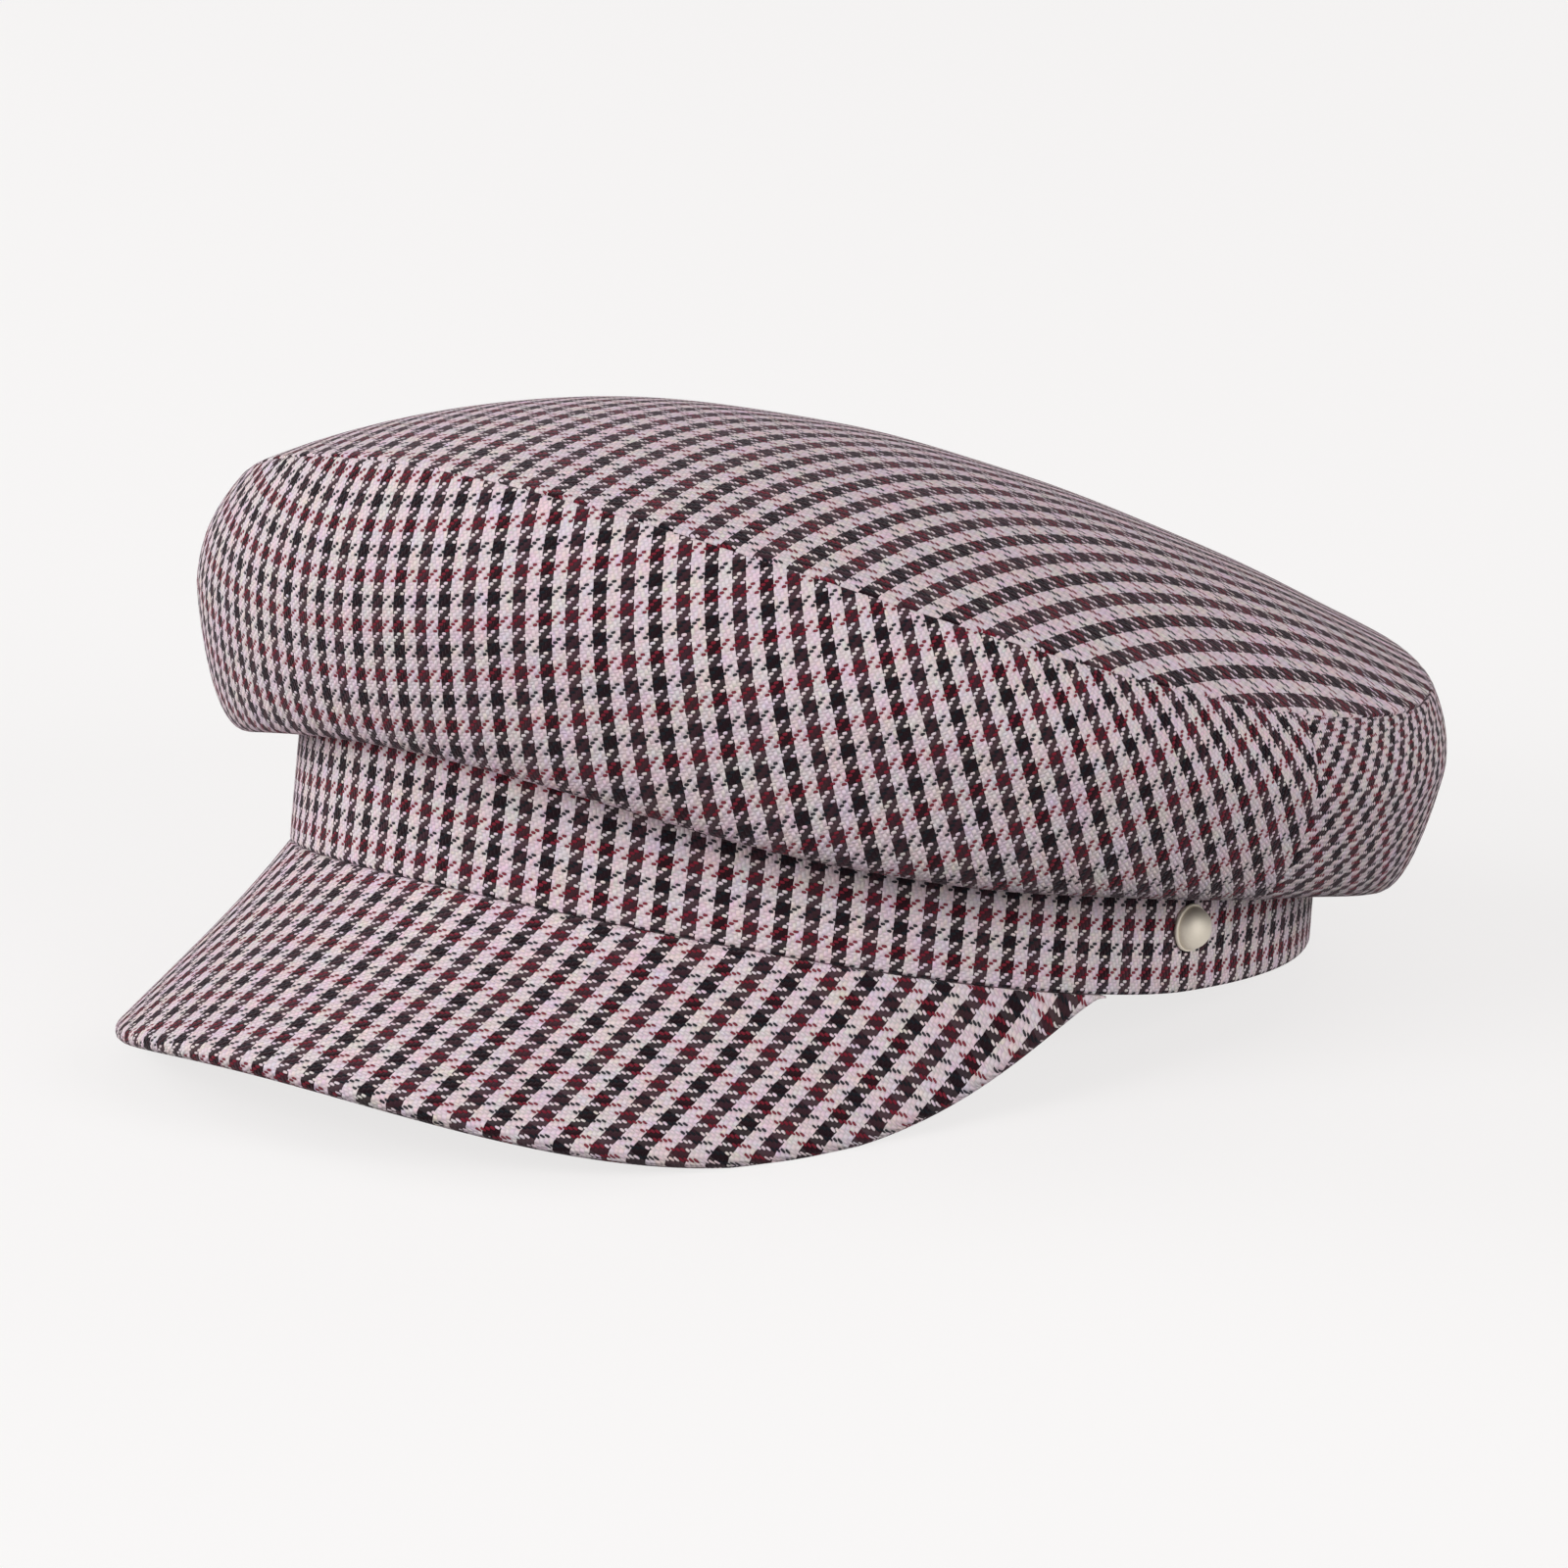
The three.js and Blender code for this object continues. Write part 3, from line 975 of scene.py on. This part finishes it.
def emptyMaterial(name):
    material = bpy.data.materials.new(name)
    material.use_nodes = True
    material.node_tree.nodes.clear()
    return material, NodeBench(material.node_tree)


def buildClothMaterial():
    look = clothLook
    material, bench = emptyMaterial("checkedWool")
    place = bench.add("ShaderNodeUVMap", uv_map="cloth").outputs[0]
    weave = bench.add("ShaderNodeGroup", node_tree=buildTwillGroup())
    bench.feed(weave.inputs["Place"], place)
    for socket, name in [
        ("Thread", "thread"),
        ("Pale", "pale"),
        ("Black", "black"),
        ("Brown", "brown"),
        ("Slate", "slate"),
        ("Wine", "wine"),
        ("Warp Raise", "warpRaise"),
        ("Mingle", "mingle"),
        ("Thread Variation", "threadVariation"),
        ("Patches", "patches"),
        ("Patch Size", "patchSize"),
        ("Fuzz", "fuzz"),
    ]:
        bench.feed(weave.inputs[socket], look[name])
    bump = bench.add("ShaderNodeBump")
    bench.feed(bump.inputs["Height"], weave.outputs["Height"])
    bump.inputs["Distance"].default_value = look["bumpDepth"]
    bump.inputs["Strength"].default_value = look["bumpStrength"]
    surface = bench.add("ShaderNodeBsdfPrincipled")
    bench.feed(surface.inputs["Base Color"], weave.outputs["Color"])
    surface.inputs["Roughness"].default_value = look["roughness"]
    surface.inputs["Specular IOR Level"].default_value = look["specular"]
    surface.inputs["Sheen Weight"].default_value = look["sheen"]
    surface.inputs["Sheen Roughness"].default_value = look["sheenRoughness"]
    surface.inputs["Sheen Tint"].default_value = look["sheenTint"]
    bench.feed(surface.inputs["Normal"], bump.outputs[0])
    output = bench.add("ShaderNodeOutputMaterial")
    bench.feed(output.inputs[0], surface.outputs[0])
    return material


metalLook = {
    "color": (0.66, 0.61, 0.53, 1),
    "roughness": 0.7,
    "scratchScale": 2600.0,
    "scratchStrength": 0.15,
}


def buildMetalMaterial():
    look = metalLook
    material, bench = emptyMaterial("studMetalFinish")
    place = bench.add("ShaderNodeTexCoord").outputs["Object"]
    scratch = bench.noise(place, look["scratchScale"], detail=3.0, roughness=0.6)
    scratch = bench.maths("SUBTRACT", scratch, 0.5)
    roughness = bench.maths("MULTIPLY_ADD", scratch, look["scratchStrength"], look["roughness"])
    surface = bench.add("ShaderNodeBsdfPrincipled")
    surface.inputs["Base Color"].default_value = look["color"]
    surface.inputs["Metallic"].default_value = 1.0
    bench.feed(surface.inputs["Roughness"], roughness)
    output = bench.add("ShaderNodeOutputMaterial")
    bench.feed(output.inputs[0], surface.outputs[0])
    return material


checkedWool = buildClothMaterial()
studFinish = buildMetalMaterial()

for piece, node in [
    (tipCloth, "crown_tip"),
    (frontPanel, "crown_front_panel"),
    (backPanel, "crown_back_panel"),
    (bandCloth, "band"),
    (peakCloth, "peak"),
]:
    piece.data.materials.append(checkedWool)
    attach(piece, "root")
    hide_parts(node)

studMetal.data.materials.append(studFinish)
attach(studMetal, "root")
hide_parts("stud")
print("finishes given")


# Stage: a pale floor, soft light from the front, both sides and behind, and the camera
stageLook = {
    "floorHalf": 12.0,
    "floorRoughness": 0.9,
    "floorColor": (0.22, 0.218, 0.217, 1),
    "floorGlow": 0.757,
    "glowColor": (1.0, 0.985, 0.98, 1),
    "skyColor": (1.0, 1.0, 1.0, 1),
    "skyAbove": 0.2,
    "skyBelow": 0.03,
    "skyBlend": 0.25,
    "lightAim": (0, 0, 0.05),
}


def buildStage():
    plane = bmesh.new()
    bmesh.ops.create_grid(plane, x_segments=1, y_segments=1, size=stageLook["floorHalf"])
    mesh = bpy.data.meshes.new("floor")
    plane.to_mesh(mesh)
    plane.free()
    floor = bpy.data.objects.new("floor", mesh)
    bpy.context.scene.collection.objects.link(floor)
    material = bpy.data.materials.new("paleFloor")
    material.use_nodes = True
    surface = material.node_tree.nodes["Principled BSDF"]
    surface.inputs["Base Color"].default_value = stageLook["floorColor"]
    surface.inputs["Roughness"].default_value = stageLook["floorRoughness"]
    surface.inputs["Specular IOR Level"].default_value = 0
    surface.inputs["Emission Color"].default_value = stageLook["glowColor"]
    surface.inputs["Emission Strength"].default_value = stageLook["floorGlow"]
    mesh.materials.append(material)
    # The floor takes the cap's shadow, and the sky's lower half throws the light back up for it
    floor.visible_diffuse = False
    floor.visible_shadow = False


def buildSky():
    world = bpy.data.worlds.new("studio")
    world.use_nodes = True
    bench = NodeBench(world.node_tree)
    background = world.node_tree.nodes["Background"]
    background.inputs[0].default_value = stageLook["skyColor"]
    direction = bench.add("ShaderNodeSeparateXYZ")
    bench.feed(direction.inputs[0], bench.add("ShaderNodeTexCoord").outputs["Generated"])
    fade = bench.add("ShaderNodeMapRange")
    bench.feed(fade.inputs["Value"], direction.outputs[2])
    fade.inputs["From Min"].default_value = -stageLook["skyBlend"]
    fade.inputs["From Max"].default_value = stageLook["skyBlend"]
    fade.inputs["To Min"].default_value = stageLook["skyBelow"]
    fade.inputs["To Max"].default_value = stageLook["skyAbove"]
    bench.feed(background.inputs[1], fade.outputs[0])
    bpy.context.scene.world = world


def addAreaLight(name, place, width, watts):
    lamp = bpy.data.lights.new(name, "AREA")
    lamp.energy = watts
    lamp.shape = "DISK"
    lamp.size = width
    holder = bpy.data.objects.new(name, lamp)
    holder.location = place
    aim = Vector(stageLook["lightAim"]) - Vector(place)
    holder.rotation_euler = aim.to_track_quat("-Z", "Y").to_euler()
    bpy.context.scene.collection.objects.link(holder)


lights = {
    "frontLight": {"place": (-0.6, -2.2, 0.9), "width": 1.6, "watts": 37},
    "rightLight": {"place": (2.3, -0.2, 0.8), "width": 1.6, "watts": 34},
    "leftLight": {"place": (-2.2, -0.6, 0.9), "width": 1.6, "watts": 26},
    "highLight": {"place": (-0.2, -1.8, 1.8), "width": 1.6, "watts": 2},
    "backLight": {"place": (-0.4, 2.3, 1.3), "width": 1.6, "watts": 10},
}

cameraView = {
    "azimuth": np.radians(40.33),
    "elevation": np.radians(13.952),
    "distance": 1580.785,
    "focalPixels": 8705.018,
    "centreX": 819.04,
    "centreY": 658.867,
    "imageSide": 1600,
    "sensor": 36,
    "targetHeight": 50,
    "clipEnd": 100,
}


def buildCamera():
    view = cameraView
    sinA, cosA = np.sin(view["azimuth"]), np.cos(view["azimuth"])
    sinE, cosE = np.sin(view["elevation"]), np.cos(view["elevation"])
    back = Vector((sinA * cosE, -cosA * cosE, sinE))
    right = Vector((cosA, sinA, 0))
    up = back.cross(right)
    target = Vector((0, float(middleY), view["targetHeight"] + restSize["lift"]))
    half = view["imageSide"] / 2
    perPixel = view["distance"] / view["focalPixels"]
    place = target + back * view["distance"]
    aim = target - right * ((view["centreX"] - half) * perPixel)
    aim += up * ((view["centreY"] - half) * perPixel)
    camera = bpy.data.cameras.new("camera")
    camera.sensor_width = view["sensor"]
    camera.lens = view["focalPixels"] / view["imageSide"] * view["sensor"]
    camera.clip_end = view["clipEnd"]
    holder = bpy.data.objects.new("camera", camera)
    holder.location = place * millimetre
    holder.rotation_euler = (aim - place).to_track_quat("-Z", "Y").to_euler()
    bpy.context.scene.collection.objects.link(holder)
    bpy.context.scene.camera = holder


buildStage()
buildSky()
for name, light in lights.items():
    addAreaLight(name, light["place"], light["width"], light["watts"])
buildCamera()
bpy.context.scene.view_settings.view_transform = "Standard"
print("stage, lights and camera set")
